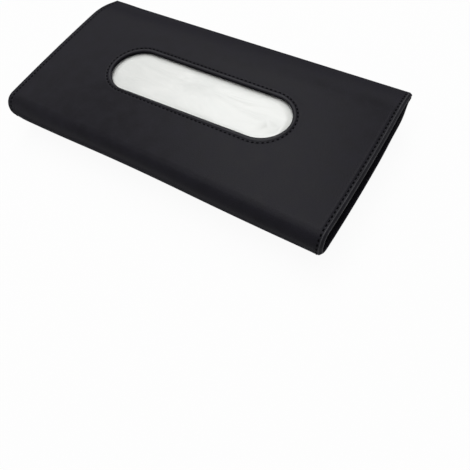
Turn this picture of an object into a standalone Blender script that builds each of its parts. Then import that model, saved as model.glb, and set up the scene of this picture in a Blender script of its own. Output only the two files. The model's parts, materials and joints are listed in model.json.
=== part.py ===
# Sun visor tissue holder: a folded case of imitation leather with a refill inside and two visor straps.
# X runs along the long side, Y from the roll to the magnet edge, Z up. The case stands on its straps.
import math

import bmesh
import bpy
from mathutils import Vector

# Case
CASE_LENGTH = 0.230
CASE_DEPTH = 0.121
CASE_HEIGHT = 0.019
STAND_HEIGHT = 0.010
FRONT_BEND_RADIUS = 0.058
LIP_WIDTH = 0.0085
LIP_ANGLE = math.radians(18.6)
LIP_GAP = 0.0003
LIP_EASE = 0.006
BACK_RISE_LENGTH = 0.0407
BACK_RISE_SHARE = 0.84
CORNER_RADIUS = 0.0015

# Layers of a panel, from the outside in
SKIN = 0.0008
BOARD = 0.0010
LINING = 0.0005
LAYER_GAP = 0.0002
HEM = 0.0012
FIT_GAP = 0.0003
OVERRUN = 0.002

# Opening in the front
OPENING_LENGTH = 0.130
OPENING_WIDTH = 0.0357
OPENING_X = -0.001
OPENING_Y = 0.0014
RIM_WIDTH = 0.0020
RIM_PROUD = 0.0003
RIM_ROUND = 0.0009
BOARD_MARGIN = 0.003

# Threads
THREAD = 0.0005
THREAD_GAP = 0.00015
EDGE_SEAM_INSET = 0.0032
OPENING_SEAM_OFFSET = 0.0027
SEAM_END = 0.0015

# Magnets in the far edge
MAGNET_LENGTH = 0.020
MAGNET_WIDTH = 0.006
MAGNET_THICKNESS = 0.0010
MAGNET_ROUND = 0.0002
MAGNET_INSET = 0.045

# Visor straps
STRAP_INSET = 0.049
STRAP_WIDTH = 0.0205
STRAP_THICKNESS = 0.0014
STRAP_SETBACK = 0.0045
STRAP_TAB_LENGTH = 0.013
STRAP_BEND_RADIUS = 0.0022
STRAP_RISE_LENGTH = 0.016
STRAP_RISE_EASE = 0.008
STRAP_END_INSET = 0.0205
STRAP_CORNER = 0.004
PATCH_LENGTH = 0.012
PATCH_THICKNESS = 0.0010
PATCH_MARGIN = 0.001
TAB_SEAM_INSET = 0.0025
TAB_SEAM_LENGTH = 0.006

# Elastic bands over the refill
BAND_WIDTH = 0.010
BAND_THICKNESS = 0.0006
BAND_FOOT = 0.009

# Refill
REFILL_END_INSET = 0.015
REFILL_NEAR_INSET = 0.002
REFILL_FAR_INSET = 0.0265
REFILL_HEADROOM = 0.0013
REFILL_SEAM_SHARE = 0.66
REFILL_TOP_POWER = 2.5
REFILL_BASE_POWER = 4
REFILL_SPREAD_SHARE = 0.95
REFILL_TAPER = 0.009
REFILL_END_DRAW = 0.003
REFILL_END_SHARE = 0.25
FILM = 0.0003
FILM_SLIT_WIDTH = 0.0008
FILM_SLIT_LENGTH = 0.120
STACK_END_INSET = 0.009
STACK_SIDE_INSET = 0.003

# Meshing
WELD_DISTANCE = 0.00001
FLAT_ANGLE = math.radians(0.1)
SHARP_ANGLE = math.radians(40)
ROUND_PROFILE_SHARE = 0.5
ROLL_STEPS = 18
BEND_STEPS = 8
RISE_STEPS = 12
CORNER_STEPS = 4
OPENING_STEPS = 14
REFILL_CELLS_ALONG = 18
REFILL_CELLS_ACROSS = 12
EDGE_STEPS = 2
THREAD_RESOLUTION = 1

# Worked out from the sizes above
PANEL = SKIN + BOARD + LINING + 2 * LAYER_GAP
BOARD_DEPTH = SKIN + LAYER_GAP
LINING_DEPTH = BOARD_DEPTH + BOARD + LAYER_GAP
HALF_LENGTH = CASE_LENGTH / 2
HALF_DEPTH = CASE_DEPTH / 2
ROLL_RADIUS = CASE_HEIGHT / 2
BASE_Z = STAND_HEIGHT
TOP_Z = BASE_Z + CASE_HEIGHT
FOLD_Y = -HALF_DEPTH + ROLL_RADIUS
INNER_HALF_LENGTH = HALF_LENGTH - HEM - FIT_GAP
MAGNET_X = HALF_LENGTH - MAGNET_INSET
STRAP_X = HALF_LENGTH - STRAP_INSET
STRAP_Y = FOLD_Y + STRAP_SETBACK + STRAP_THICKNESS / 2
STRAP_Z = STRAP_THICKNESS / 2
STRAP_END_Y = HALF_DEPTH - STRAP_END_INSET
HOOK_DEPTH = FIT_GAP + PATCH_THICKNESS + FIT_GAP
STRAP_DEPTH = HOOK_DEPTH + PATCH_THICKNESS + FIT_GAP
REFILL_LENGTH = CASE_LENGTH - 2 * REFILL_END_INSET
REFILL_NEAR_Y = FOLD_Y + REFILL_NEAR_INSET
REFILL_WIDTH = HALF_DEPTH - REFILL_FAR_INSET - REFILL_NEAR_Y
REFILL_Y = REFILL_NEAR_Y + REFILL_WIDTH / 2
REFILL_BASE = BASE_Z + PANEL + FIT_GAP + BAND_THICKNESS + FIT_GAP
REFILL_CROWN = TOP_Z - PANEL - REFILL_HEADROOM
REFILL_SEAM = REFILL_BASE + (REFILL_CROWN - REFILL_BASE) * REFILL_SEAM_SHARE
BAND_X = REFILL_LENGTH / 2 - REFILL_TAPER - BAND_WIDTH / 2

# Places on the two sides, with the names of their pieces
SIDES = {"left": -1, "right": 1}


def new_collection(name):
    collection = bpy.data.collections.new(name)
    bpy.context.scene.collection.children.link(collection)
    return collection


for leftover in list(bpy.data.objects):
    bpy.data.objects.remove(leftover, do_unlink=True)
parts = new_collection("car_tissue_holder")
cutters = new_collection("cutters")


def material(name, colour, roughness, metallic=0.0):
    made = bpy.data.materials.new(name)
    made.use_nodes = True
    shader = made.node_tree.nodes["Principled BSDF"]
    shader.inputs["Base Color"].default_value = (*colour, 1.0)
    shader.inputs["Roughness"].default_value = roughness
    shader.inputs["Metallic"].default_value = metallic
    return made


leather = material("leather", (0.026, 0.025, 0.028), 0.45)
lining_cloth = material("lining_cloth", (0.012, 0.012, 0.013), 0.9)
stiff_board = material("stiff_board", (0.05, 0.05, 0.05), 0.6)
magnet_metal = material("magnet_metal", (0.55, 0.55, 0.56), 0.35, 1.0)
black_thread = material("black_thread", (0.008, 0.008, 0.009), 0.6)
hook_tape = material("hook_tape", (0.015, 0.015, 0.016), 0.95)
elastic = material("elastic", (0.02, 0.02, 0.021), 0.85)
white_film = material("white_film", (0.80, 0.81, 0.79), 0.3)
tissue = material("tissue", (0.82, 0.82, 0.81), 0.9)


# A line is a list of (y, z) points. The case's lines run from the far edge of the back, round the roll,
# to the far edge of the front, so that the inside of the case is on their right.
def offset(line, distance):
    """The line moved to its right, mitred at its corners."""
    moved = []
    for index, point in enumerate(line):
        before = (point - line[index - 1]) if index > 0 else (line[1] - point)
        after = (line[index + 1] - point) if index < len(line) - 1 else before
        before, after = before.normalized(), after.normalized()
        along = (before + after).normalized()
        moved.append(point + Vector((along.y, -along.x)) * (distance / along.dot(after)))
    return moved


def stretched(line, start=0.0, end=0.0):
    """The line with its ends moved along their own directions: outwards, or inwards where negative."""
    first = line[0] + (line[0] - line[1]).normalized() * start
    last = line[-1] + (line[-1] - line[-2]).normalized() * end
    return [first, *line[1:-1], last]


def between(line, low, high):
    """The stretch of a line with y between two values, running towards +Y."""
    rising = sorted(line, key=lambda point: point.x)
    kept = [point for point in rising if low < point.x < high]
    for first, second in zip(rising, rising[1:]):
        for y in (low, high):
            if first.x <= y < second.x:
                kept.append(first.lerp(second, (y - first.x) / (second.x - first.x)))
    return sorted(kept, key=lambda point: point.x)


def arc(centre, radius, start, end, steps):
    angles = [start + (end - start) * step / steps for step in range(steps + 1)]
    return [centre + radius * Vector((math.cos(angle), math.sin(angle))) for angle in angles]


def ease(start, start_handle, end_handle, end, steps):
    """A cubic curve between two points."""
    line = []
    for step in range(steps + 1):
        t = step / steps
        near, far = 1 - t, t
        line.append(
            start * near**3
            + start_handle * (3 * far * near**2)
            + end_handle * (3 * far**2 * near)
            + end * far**3
        )
    return line


def layer(line, low, high):
    """The outline between two depths below a line."""
    return offset(line, low) + offset(line, high)[::-1]


def front_line():
    bend_y = HALF_DEPTH - LIP_WIDTH * math.cos(LIP_ANGLE) - FRONT_BEND_RADIUS * math.sin(LIP_ANGLE)
    centre = Vector((bend_y, TOP_Z - FRONT_BEND_RADIUS))
    bend = arc(centre, FRONT_BEND_RADIUS, math.pi / 2, math.pi / 2 - LIP_ANGLE, BEND_STEPS)
    lip_end = bend[-1] + LIP_WIDTH * Vector((math.cos(LIP_ANGLE), -math.sin(LIP_ANGLE)))
    return [Vector((FOLD_Y + FIT_GAP, TOP_Z)), *bend, lip_end]


def back_line():
    along_lip = Vector((math.cos(LIP_ANGLE), -math.sin(LIP_ANGLE)))
    lip = offset(front_line(), 2 * PANEL + LIP_GAP)[-2:]
    rise_start = Vector((lip[0].x - BACK_RISE_LENGTH, BASE_Z))
    rise = ease(
        lip[0],
        lip[0] - along_lip * LIP_EASE,
        rise_start + Vector((BACK_RISE_LENGTH * BACK_RISE_SHARE, 0)),
        rise_start,
        RISE_STEPS,
    )
    return [lip[1], *rise, Vector((FOLD_Y + FIT_GAP, BASE_Z))]


def roll_line():
    centre = Vector((FOLD_Y, BASE_Z + ROLL_RADIUS))
    return arc(centre, ROLL_RADIUS, -math.pi / 2, -3 * math.pi / 2, ROLL_STEPS)


def stadium(length, width):
    """The points of a round-ended outline about the opening's centre."""
    radius = width / 2
    reach = length / 2 - radius
    centre = Vector((OPENING_X, OPENING_Y))
    right = arc(centre + Vector((reach, 0)), radius, -math.pi / 2, math.pi / 2, OPENING_STEPS)
    left = arc(centre - Vector((reach, 0)), radius, math.pi / 2, 3 * math.pi / 2, OPENING_STEPS)
    return right + left


def finish(made, colour, collection=parts):
    made.data.materials.append(colour)
    collection.objects.link(made)
    return made


def extrusion(name, outlines, low, high, colour, upright=False, collection=parts):
    """A flat outline made solid. It lies in XY and runs from low to high in Z, or where upright,
    it stands in YZ and runs from low to high in X."""
    curve = bpy.data.curves.new(name, "CURVE")
    curve.dimensions = "2D"
    curve.fill_mode = "BOTH"
    curve.extrude = (high - low) / 2
    for outline in outlines:
        spline = curve.splines.new("POLY")
        spline.points.add(len(outline) - 1)
        for point, place in zip(spline.points, outline):
            point.co = (place.x, place.y, 0, 1)
        spline.use_cyclic_u = True
    holder = bpy.data.objects.new(name, curve)
    middle = (low + high) / 2
    if upright:
        holder.location = (middle, 0, 0)
        holder.rotation_euler = (math.pi / 2, 0, math.pi / 2)
    else:
        holder.location = (0, 0, middle)
    collection.objects.link(holder)
    bpy.context.view_layer.update()
    evaluated = holder.evaluated_get(bpy.context.evaluated_depsgraph_get())
    mesh = bpy.data.meshes.new_from_object(evaluated)
    mesh.transform(holder.matrix_world)
    bpy.data.objects.remove(holder)
    bpy.data.curves.remove(curve)
    welded = bmesh.new()
    welded.from_mesh(mesh)
    bmesh.ops.remove_doubles(welded, verts=welded.verts, dist=WELD_DISTANCE)
    bmesh.ops.recalc_face_normals(welded, faces=welded.faces)
    welded.to_mesh(mesh)
    welded.free()
    mesh.name = name
    mesh.materials.clear()
    return finish(bpy.data.objects.new(name, mesh), colour, collection)


def across(name, outline, half_width, colour, x=0.0, collection=parts):
    """A solid whose section stands in YZ, centred at x."""
    return extrusion(name, [outline], x - half_width, x + half_width, colour, True, collection)


def round_far_corners(made, radius):
    """Rounds the two corners of a panel or strap at its far end."""
    mesh = bmesh.new()
    mesh.from_mesh(made.data)
    bmesh.ops.dissolve_limit(mesh, angle_limit=FLAT_ANGLE, verts=mesh.verts, edges=mesh.edges)
    far = max(vertex.co.y for vertex in mesh.verts)
    sides = (min(vertex.co.x for vertex in mesh.verts), max(vertex.co.x for vertex in mesh.verts))
    corners = [
        edge
        for edge in mesh.edges
        if any(all(abs(vertex.co.x - side) < WELD_DISTANCE for vertex in edge.verts) for side in sides)
        and all(vertex.co.y > far - PANEL for vertex in edge.verts)
    ]
    bmesh.ops.bevel(
        mesh,
        geom=corners,
        offset=radius,
        segments=CORNER_STEPS,
        profile=ROUND_PROFILE_SHARE,
        affect="EDGES",
    )
    mesh.to_mesh(made.data)
    mesh.free()


def boolean(made, other, operation="DIFFERENCE"):
    step = made.modifiers.new(other.name, "BOOLEAN")
    step.operation = operation
    step.object = other
    step.solver = "EXACT"


def cutter(made):
    made.hide_render = True
    made.display_type = "WIRE"
    return made


def rounded(made, width, segments):
    bevel = made.modifiers.new("rounded edges", "BEVEL")
    bevel.width = width
    bevel.segments = segments
    bevel.limit_method = "ANGLE"
    bevel.angle_limit = SHARP_ANGLE


def tube(name, places, thickness, colour, closed=False):
    """A thread along a list of places."""
    curve = bpy.data.curves.new(name, "CURVE")
    curve.dimensions = "3D"
    curve.bevel_depth = thickness / 2
    curve.bevel_resolution = THREAD_RESOLUTION
    curve.use_fill_caps = not closed
    spline = curve.splines.new("POLY")
    spline.points.add(len(places) - 1)
    for point, place in zip(spline.points, places):
        point.co = (*place, 1)
    spline.use_cyclic_u = closed
    return finish(bpy.data.objects.new(name, curve), colour)


def hinge(name, place, parent=None):
    """An empty on a joint's axis, which carries what moves there."""
    made = bpy.data.objects.new(name, None)
    parts.objects.link(made)
    made.empty_display_size = STRAP_WIDTH
    made.location = place
    if parent:
        made.parent = parent
        made.location = Vector(place) - parent.matrix_world.translation
    bpy.context.view_layer.update()
    return made


def carry(holder, *pieces):
    for piece in pieces:
        piece.parent = holder
        piece.matrix_parent_inverse = holder.matrix_world.inverted()


def opening_cutter(name, margin):
    """A cutter for the opening, wider than it by a margin all round."""
    outline = stadium(OPENING_LENGTH + 2 * margin, OPENING_WIDTH + 2 * margin)
    low, high = TOP_Z - PANEL - OVERRUN, TOP_Z + OVERRUN
    return cutter(extrusion(name, [outline], low, high, leather, False, cutters))


def panel_skin(name, line, crease_ends, lip_ends):
    """A skin with its edges turned in over the layers it covers. Each pair says which ends of the line
    are creases, where it stays open, and which is the lip."""
    skin = across(name, layer(line, 0, PANEL), HALF_LENGTH, leather)
    ends = [OVERRUN * crease - HEM * lip for crease, lip in zip(crease_ends, lip_ends)]
    pocket_line = stretched(line, *ends)
    pocket = layer(pocket_line, SKIN, PANEL + OVERRUN)
    boolean(skin, cutter(across(name + "_pocket", pocket, HALF_LENGTH - HEM, leather, 0.0, cutters)))
    return skin


def make_front():
    line = front_line()
    rim_margin = RIM_WIDTH + FIT_GAP
    layer_cut = opening_cutter("opening", rim_margin)
    board_cut = opening_cutter("board_opening", rim_margin + BOARD_MARGIN)
    skin = panel_skin("front_skin", line, (1, 0), (0, 1))
    round_far_corners(skin, CORNER_RADIUS)
    boolean(skin, layer_cut)
    board_line = stretched(line[:-1], -FIT_GAP, -FIT_GAP)
    board_outline = layer(board_line, BOARD_DEPTH, BOARD_DEPTH + BOARD)
    board = across("front_board", board_outline, INNER_HALF_LENGTH, stiff_board)
    boolean(board, board_cut)
    lining_line = stretched(line, 0, -HEM - FIT_GAP)
    lining_outline = layer(lining_line, LINING_DEPTH, PANEL)
    lining = across("front_lining", lining_outline, INNER_HALF_LENGTH, lining_cloth)
    boolean(lining, layer_cut)
    rim_outlines = [
        stadium(OPENING_LENGTH + 2 * RIM_WIDTH, OPENING_WIDTH + 2 * RIM_WIDTH),
        stadium(OPENING_LENGTH, OPENING_WIDTH),
    ]
    low, high = TOP_Z - PANEL - RIM_PROUD, TOP_Z + RIM_PROUD
    rim = extrusion("opening_rim", rim_outlines, low, high, leather)
    rounded(rim, RIM_ROUND, EDGE_STEPS)
    spread = 2 * OPENING_SEAM_OFFSET
    seam_z = TOP_Z + THREAD_GAP + THREAD / 2
    loop = stadium(OPENING_LENGTH + spread, OPENING_WIDTH + spread)
    places = [(place.x, place.y, seam_z) for place in loop]
    thread = tube("opening_thread", places, THREAD, black_thread, True)
    return [skin, board, lining, rim, thread]


def make_roll():
    line = roll_line()
    skin = panel_skin("roll_skin", line, (1, 1), (0, 0))
    lining_outline = layer(line, SKIN + LAYER_GAP, SKIN + LAYER_GAP + LINING)
    lining = across("roll_lining", lining_outline, INNER_HALF_LENGTH, lining_cloth)
    return [skin, lining]


def make_back():
    line = back_line()
    skin = panel_skin("back_skin", line, (0, 1), (1, 0))
    round_far_corners(skin, CORNER_RADIUS)
    board_line = stretched(line[1:], -FIT_GAP, -FIT_GAP)
    board_outline = layer(board_line, BOARD_DEPTH, BOARD_DEPTH + BOARD)
    across("back_board", board_outline, INNER_HALF_LENGTH, stiff_board)
    lining_line = stretched(line, -HEM - FIT_GAP, 0)
    across("back_lining", layer(lining_line, LINING_DEPTH, PANEL), INNER_HALF_LENGTH, lining_cloth)


def make_edge_threads():
    """The seams along both short ends, which hold the turned edges down."""
    made = {}
    lines = {"front": front_line(), "roll": roll_line(), "back": back_line()}
    for panel, line in lines.items():
        path = stretched(offset(line, -THREAD_GAP - THREAD / 2), -SEAM_END, -SEAM_END)
        for side, sign in SIDES.items():
            x = sign * (HALF_LENGTH - EDGE_SEAM_INSET)
            name = f"{side}_{panel}_thread"
            made[name] = tube(name, [(x, point.x, point.y) for point in path], THREAD, black_thread)
    return made


def make_magnets():
    """A bar magnet in each lip on each side, in the space between the skin and the lining."""
    made = {}
    lips = {"front": front_line()[-2:], "back": back_line()[1::-1]}
    for panel, (start, end) in lips.items():
        inwards = -1 if panel == "front" else 1
        normal = Vector((math.sin(LIP_ANGLE), math.cos(LIP_ANGLE))) * inwards
        middle_depth = SKIN + (LINING_DEPTH - SKIN) / 2
        place = (start + end) / 2 + normal * middle_depth
        for side, sign in SIDES.items():
            name = f"{side}_{panel}_magnet"
            mesh = bpy.data.meshes.new(name)
            bar = bmesh.new()
            bmesh.ops.create_cube(bar, size=1.0)
            bmesh.ops.scale(bar, vec=(MAGNET_LENGTH, MAGNET_WIDTH, MAGNET_THICKNESS), verts=bar.verts)
            bar.to_mesh(mesh)
            bar.free()
            magnet = finish(bpy.data.objects.new(name, mesh), magnet_metal)
            magnet.location = (sign * MAGNET_X, place.x, place.y)
            magnet.rotation_euler = (-LIP_ANGLE, 0, 0)
            rounded(magnet, MAGNET_ROUND, 1)
            made[name] = magnet
    return made


def strap_lines():
    """The centre lines of a strap's sewn tab and of its loose run."""
    tab_z = BASE_Z - FIT_GAP - STRAP_THICKNESS / 2
    centre = Vector((STRAP_Y + STRAP_BEND_RADIUS, tab_z - STRAP_BEND_RADIUS))
    bend = arc(centre, STRAP_BEND_RADIUS, math.pi / 2, math.pi, CORNER_STEPS)
    tab_start = Vector((STRAP_Y + STRAP_TAB_LENGTH, tab_z))
    drop_end = Vector((STRAP_Y, STRAP_Z + STRAP_THICKNESS / 2 + FIT_GAP))
    tab = [tab_start, *bend, drop_end]
    patch_start = STRAP_END_Y - 2 * PATCH_MARGIN - PATCH_LENGTH
    under_back = offset(back_line(), -STRAP_DEPTH - STRAP_THICKNESS / 2)
    end_part = between(under_back, patch_start, STRAP_END_Y)
    rise_start = Vector((end_part[0].x - STRAP_RISE_LENGTH, STRAP_Z))
    slope = (end_part[1] - end_part[0]).normalized()
    rise = ease(
        rise_start,
        rise_start + Vector((STRAP_RISE_EASE, 0)),
        end_part[0] - slope * STRAP_RISE_EASE,
        end_part[0],
        BEND_STEPS,
    )
    run = [Vector((STRAP_Y, STRAP_Z)), *rise, *end_part[1:]]
    return tab, run


def patch_outline(low, high):
    """The outline of a patch under the back, between two depths below its skin."""
    end = STRAP_END_Y - PATCH_MARGIN
    under_low = between(offset(back_line(), -low), end - PATCH_LENGTH, end)
    under_high = between(offset(back_line(), -high), end - PATCH_LENGTH, end)
    return under_low + under_high[::-1]


def make_straps():
    tab_line, run_line = strap_lines()
    half = STRAP_WIDTH / 2
    reach = STRAP_THICKNESS / 2
    turn = arc(run_line[0], reach, -math.pi / 2, -3 * math.pi / 2, ROLL_STEPS // 2)
    run_outline = layer(run_line, -reach, reach) + turn[1:-1]
    tab_outline = layer(tab_line, -reach, reach)
    loop_outline = patch_outline(FIT_GAP, FIT_GAP + PATCH_THICKNESS)
    hook_outline = patch_outline(HOOK_DEPTH, HOOK_DEPTH + PATCH_THICKNESS)
    patch_half = half - PATCH_MARGIN
    seam_z = BASE_Z - FIT_GAP - STRAP_THICKNESS - THREAD_GAP - THREAD / 2
    seam_end = STRAP_Y + STRAP_TAB_LENGTH - TAB_SEAM_INSET
    seam_start = seam_end - TAB_SEAM_LENGTH
    moving = {}
    for side, sign in SIDES.items():
        x = sign * STRAP_X
        across(f"{side}_strap_tab", tab_outline, half, leather, x)
        across(f"{side}_loop_patch", loop_outline, patch_half, hook_tape, x)
        left, right = x - half + TAB_SEAM_INSET, x + half - TAB_SEAM_INSET
        corners = ((left, seam_start), (right, seam_start), (right, seam_end), (left, seam_end))
        places = [(*corner, seam_z) for corner in corners]
        tube(f"{side}_tab_thread", places, THREAD, black_thread, True)
        strap = across(f"{side}_strap", run_outline, half, leather, x)
        round_far_corners(strap, STRAP_CORNER)
        moving[side] = [strap, across(f"{side}_hook_patch", hook_outline, patch_half, hook_tape, x)]
    return moving


def refill_heights(over, base, crown):
    """The bottom and top of the refill, over being -1 to 1 across its width."""
    spread = abs(over) * REFILL_SPREAD_SHARE
    bottom = REFILL_SEAM - (REFILL_SEAM - base) * (1 - spread**REFILL_BASE_POWER)
    top = REFILL_SEAM + (crown - REFILL_SEAM) * math.sqrt(1 - spread**REFILL_TOP_POWER)
    return bottom, top


def pillow(name, length, width, base, crown, colour):
    """A soft pack with a crown, thin sides and drawn-in ends."""
    solid = bmesh.new()
    bmesh.ops.create_grid(
        solid, x_segments=REFILL_CELLS_ALONG, y_segments=REFILL_CELLS_ACROSS, size=1.0
    )
    raised = bmesh.ops.extrude_face_region(solid, geom=solid.faces[:])["geom"]
    upper = {item for item in raised if isinstance(item, bmesh.types.BMVert)}
    taper_start = length / 2 - REFILL_TAPER
    for vertex in solid.verts:
        over = math.sin(vertex.co.y * math.pi / 2)
        x = math.sin(vertex.co.x * math.pi / 2) * length / 2
        past = max(0.0, (abs(x) - taper_start) / REFILL_TAPER)
        bottom, top = refill_heights(over, base, crown)
        thin = 1 - (1 - REFILL_END_SHARE) * past**2
        half_width = width / 2 - REFILL_END_DRAW * past**2
        height = REFILL_SEAM + ((top if vertex in upper else bottom) - REFILL_SEAM) * thin
        vertex.co = (x, REFILL_Y + over * half_width, height)
    bmesh.ops.recalc_face_normals(solid, faces=solid.faces)
    mesh = bpy.data.meshes.new(name)
    solid.to_mesh(mesh)
    solid.free()
    mesh.shade_smooth()
    return finish(bpy.data.objects.new(name, mesh), colour)


def make_refill():
    wrap = pillow(
        "refill_wrap", REFILL_LENGTH, REFILL_WIDTH, REFILL_BASE, REFILL_CROWN, white_film
    )
    shell = wrap.modifiers.new("film", "SOLIDIFY")
    shell.thickness = FILM
    shell.offset = -1
    inset = FILM + FIT_GAP
    near, far = REFILL_Y - FILM_SLIT_WIDTH / 2, REFILL_Y + FILM_SLIT_WIDTH / 2
    low, high = REFILL_BASE - inset, REFILL_BASE + inset
    corners = [Vector(corner) for corner in ((near, low), (far, low), (far, high), (near, high))]
    slit = across("film_slit", corners, FILM_SLIT_LENGTH / 2, white_film, 0.0, cutters)
    boolean(wrap, cutter(slit))
    stack = pillow(
        "tissue_stack",
        REFILL_LENGTH - 2 * STACK_END_INSET,
        REFILL_WIDTH - 2 * STACK_SIDE_INSET,
        REFILL_BASE + inset,
        REFILL_CROWN - inset,
        tissue,
    )
    return [wrap, stack]


def make_bands():
    """Elastic bands round the refill, with their feet under it on the back lining."""
    over_top, under = [], []
    for cell in range(REFILL_CELLS_ACROSS + 1):
        over = -math.cos(math.pi * cell / REFILL_CELLS_ACROSS)
        bottom, top = refill_heights(over, REFILL_BASE, REFILL_CROWN)
        over_top.append(Vector((REFILL_Y + over * REFILL_WIDTH / 2, top)))
        under.append(Vector((REFILL_Y + over * REFILL_WIDTH / 2, bottom)))
    near_foot = between(under, under[0].x - FIT_GAP, under[0].x + BAND_FOOT)
    far_foot = between(under, under[-1].x - BAND_FOOT, under[-1].x + FIT_GAP)
    path = near_foot[::-1] + over_top + far_foot[::-1]
    outline = layer(path, -FIT_GAP, -FIT_GAP - BAND_THICKNESS)
    for side, sign in SIDES.items():
        across(f"{side}_band", outline, BAND_WIDTH / 2, elastic, sign * BAND_X)


roll_hinge = hinge("roll_hinge", (0, FOLD_Y, BASE_Z))
cover_hinge = hinge("cover_hinge", (0, FOLD_Y, TOP_Z), roll_hinge)
refill_slide = hinge("refill_slide", (0, REFILL_Y, REFILL_BASE))
make_back()
carry(roll_hinge, *make_roll())
carry(cover_hinge, *make_front())
threads = make_edge_threads()
magnets = make_magnets()
for side_name in SIDES:
    carry(cover_hinge, threads[f"{side_name}_front_thread"], magnets[f"{side_name}_front_magnet"])
    carry(roll_hinge, threads[f"{side_name}_roll_thread"])
make_bands()
carry(refill_slide, *make_refill())
for side_name, pieces in make_straps().items():
    strap_hinge = hinge(f"{side_name}_strap_hinge", (SIDES[side_name] * STRAP_X, STRAP_Y, STRAP_Z))
    carry(strap_hinge, *pieces)
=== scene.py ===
# Sun visor tissue holder: a folded case of imitation leather, its refill and two visor straps.
import json
import math

import bmesh
import bpy
from mathutils import Euler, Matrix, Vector, noise


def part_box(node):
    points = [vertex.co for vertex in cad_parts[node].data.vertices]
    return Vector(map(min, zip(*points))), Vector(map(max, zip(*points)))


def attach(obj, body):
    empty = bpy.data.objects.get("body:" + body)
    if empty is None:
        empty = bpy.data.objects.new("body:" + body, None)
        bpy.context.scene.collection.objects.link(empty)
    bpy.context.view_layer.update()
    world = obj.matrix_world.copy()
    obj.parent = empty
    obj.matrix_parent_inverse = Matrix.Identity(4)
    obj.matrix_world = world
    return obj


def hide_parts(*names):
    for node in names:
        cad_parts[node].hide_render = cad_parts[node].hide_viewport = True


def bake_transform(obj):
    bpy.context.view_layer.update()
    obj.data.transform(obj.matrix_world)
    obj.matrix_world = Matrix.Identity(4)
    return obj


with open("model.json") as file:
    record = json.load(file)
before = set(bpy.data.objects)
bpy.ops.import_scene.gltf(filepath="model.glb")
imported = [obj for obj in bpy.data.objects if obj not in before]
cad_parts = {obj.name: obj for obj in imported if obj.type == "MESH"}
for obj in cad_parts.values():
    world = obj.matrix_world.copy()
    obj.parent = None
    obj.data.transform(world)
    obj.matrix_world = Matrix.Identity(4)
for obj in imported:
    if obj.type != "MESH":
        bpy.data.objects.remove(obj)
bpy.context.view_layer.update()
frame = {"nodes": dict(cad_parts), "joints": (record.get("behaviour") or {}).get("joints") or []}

mm = 0.001


# Colours and nodes

def colour(hexCode):
    # sRGB hex to the linear values that the shaders take
    channels = [int(hexCode[i:i + 2], 16) / 255 for i in (0, 2, 4)]
    return [c / 12.92 if c <= 0.04045 else ((c + 0.055) / 1.055) ** 2.4 for c in channels] + [1.0]


def addNode(tree, kind, settings=None, values=None, links=None):
    # settings are the node's own, values go on its sockets, links are (from node, output, input)
    node = tree.nodes.new(kind)
    for key, value in (settings or {}).items():
        setattr(node, key, value)
    for key, value in (values or {}).items():
        node.inputs[key].default_value = value
    for source, output, key in links or []:
        tree.links.new(source.outputs[output], node.inputs[key])
    return node


def newMaterial(name):
    material = bpy.data.materials.new(name)
    material.use_nodes = True
    tree = material.node_tree
    tree.nodes.clear()
    shader = addNode(tree, "ShaderNodeBsdfPrincipled")
    addNode(tree, "ShaderNodeOutputMaterial", links=[(shader, "BSDF", "Surface")])
    return material, tree, shader


def setSockets(shader, values):
    for key, value in values.items():
        shader.inputs[key].default_value = value


def ramp(tree, source, output, stops):
    # each stop is a place and a colour
    node = addNode(tree, "ShaderNodeValToRGB", links=[(source, output, "Fac")])
    while len(node.color_ramp.elements) < len(stops):
        node.color_ramp.elements.new(0.5)
    for element, (place, shade) in zip(node.color_ramp.elements, stops):
        element.position = place
        element.color = shade
    return node


# Camera and stage

cameraPlace = {
    "location": (0.1637, -0.1719, 0.2474),
    "degrees": (30.401, 6.667, 31.637),
    "lens": 38.345,
    "sensor": 36,
    "clip": (0.01, 50),
}


def makeCamera():
    data = bpy.data.cameras.new("camera")
    data.lens = cameraPlace["lens"]
    data.sensor_width = cameraPlace["sensor"]
    data.clip_start, data.clip_end = cameraPlace["clip"]
    camera = bpy.data.objects.new("camera", data)
    camera.location = cameraPlace["location"]
    camera.rotation_euler = Euler([math.radians(d) for d in cameraPlace["degrees"]])
    bpy.context.scene.collection.objects.link(camera)
    bpy.context.scene.camera = camera


stageLook = {
    "floorSize": 6.0,
    "floorDrop": 0.0001,  # clear of the straps, which stand at zero
    "floorColour": "e6e6e6",
    "worldColour": "ffffff",
    "worldStrength": 0.2,
    "floorGlow": 0.94,
    "lamps": [
        # name, place, size, power, aimed at
        ("windowBox", (-0.15, -0.15, 1.3), (1.0, 1.0), 6.6, (0, 0, 0)),
        ("sheenBox", (-0.39, 0.62, 1.3), (0.6, 1.0), 7.5, (0, 0, 0)),
        ("overheadBox", (0.4, -0.15, 1.3), (1.0, 1.0), 4.2, (0, 0, 0)),
    ],
}


def seenWhite(tree):
    # 1 for what the camera sees, straight or in a mirror or a clear thing
    paths = addNode(tree, "ShaderNodeLightPath")
    mirrored = addNode(tree, "ShaderNodeMath", {"operation": "MAXIMUM"},
                       links=[(paths, "Is Glossy Ray", 0), (paths, "Is Transmission Ray", 1)])
    return addNode(tree, "ShaderNodeMath", {"operation": "MAXIMUM"},
                   links=[(paths, "Is Camera Ray", 0), (mirrored, 0, 1)])


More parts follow.
